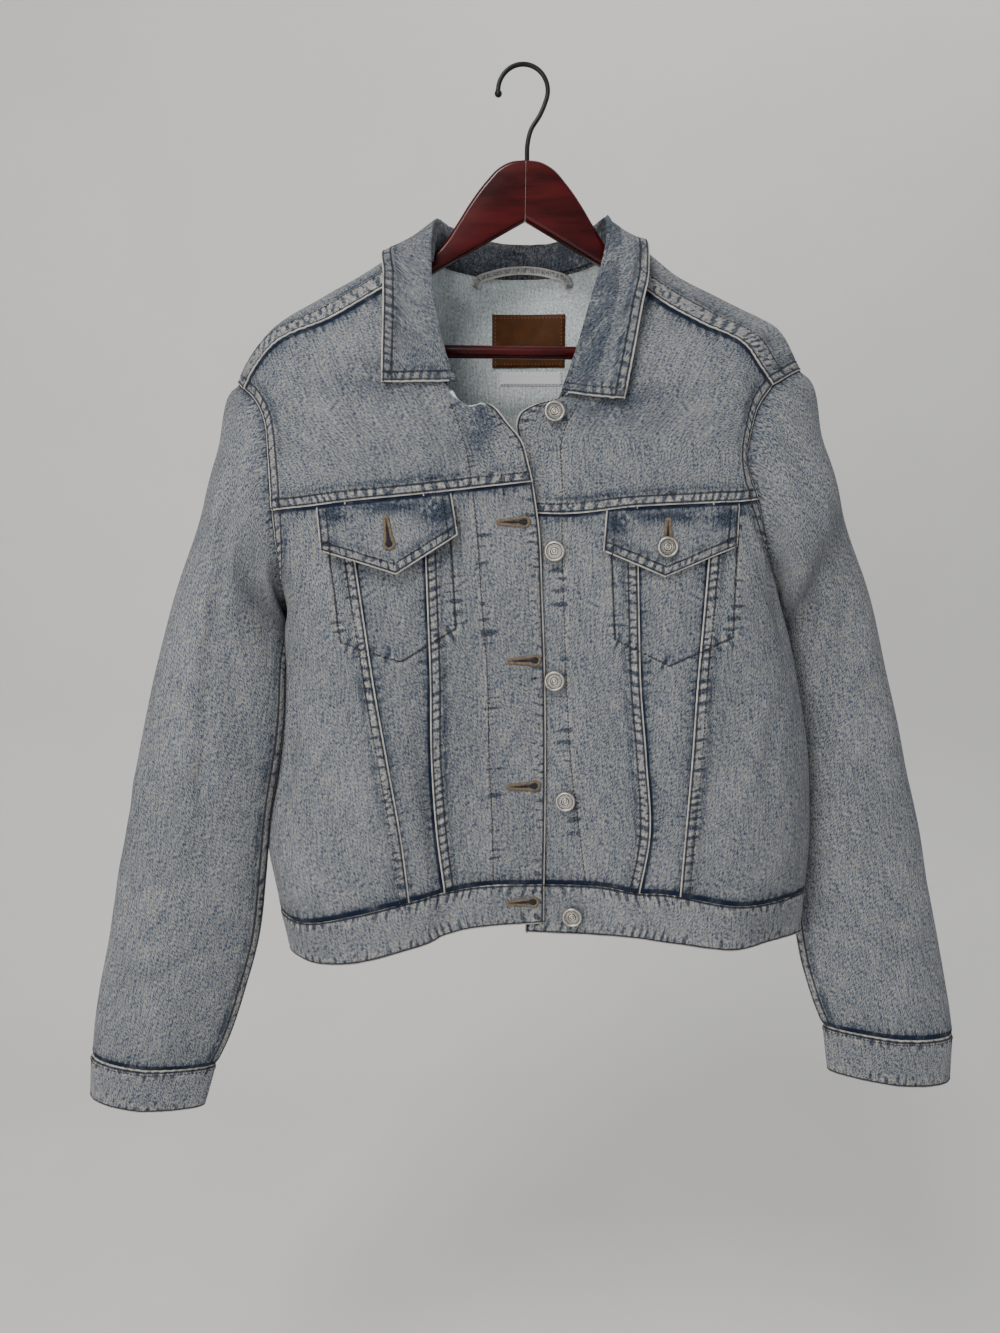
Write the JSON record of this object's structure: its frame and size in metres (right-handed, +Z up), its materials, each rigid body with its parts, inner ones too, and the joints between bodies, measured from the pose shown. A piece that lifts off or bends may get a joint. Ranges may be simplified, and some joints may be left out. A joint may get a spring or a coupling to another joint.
{
  "type": "denim jacket on a hanger",
  "caption": "Unbuttoned denim trucker jacket with a turned-down collar, pointed chest pocket flaps and long sleeves, hanging on a wooden hanger.",
  "frame": {"origin": "inside top of the hanger's hook, where it rests on a rail", "axes": "+Z up, the hanger lies in the plane Y = 0, the jacket's front faces -Y, its wearer's left is at +X"},
  "size_m": [0.7848, 0.1435, 0.8952],
  "materials": {
    "denim": "light grey-blue washed cotton twill, matt",
    "leather": "dark brown, slightly glossy",
    "label": "white woven satin",
    "metal": "brushed silver",
    "wood": "mahogany, glossy lacquer",
    "wire": "black"
  },
  "bodies": {
    "root": {"back_panel": "denim", "back_yoke": "denim", "collar": "denim", "cuff_l": "denim", "cuff_r": "denim", "front_button_1": "metal", "front_button_2": "metal", "front_button_3": "metal", "front_button_4": "metal", "front_button_5": "metal", "front_centre_l": "denim", "front_centre_r": "denim", "front_middle_l": "denim", "front_middle_r": "denim", "front_side_l": "denim", "front_side_r": "denim", "front_yoke_l": "denim", "front_yoke_r": "denim", "hanger_arm_l": "wood", "hanger_arm_r": "wood", "hanger_bar": "wood", "hanger_hook": "wire", "hanging_loop": "denim", "patch": "leather", "pocket_bag_l": "denim", "pocket_bag_r": "denim", "pocket_button_l": "metal", "pocket_button_r": "metal", "pocket_flap_l": "denim", "pocket_flap_r": "denim", "size_label": "label", "sleeve_back_l": "denim", "sleeve_back_r": "denim", "sleeve_front_l": "denim", "sleeve_front_r": "denim", "waistband_back": "denim", "waistband_front_l": "denim", "waistband_front_r": "denim"}
  },
  "joints": []
}
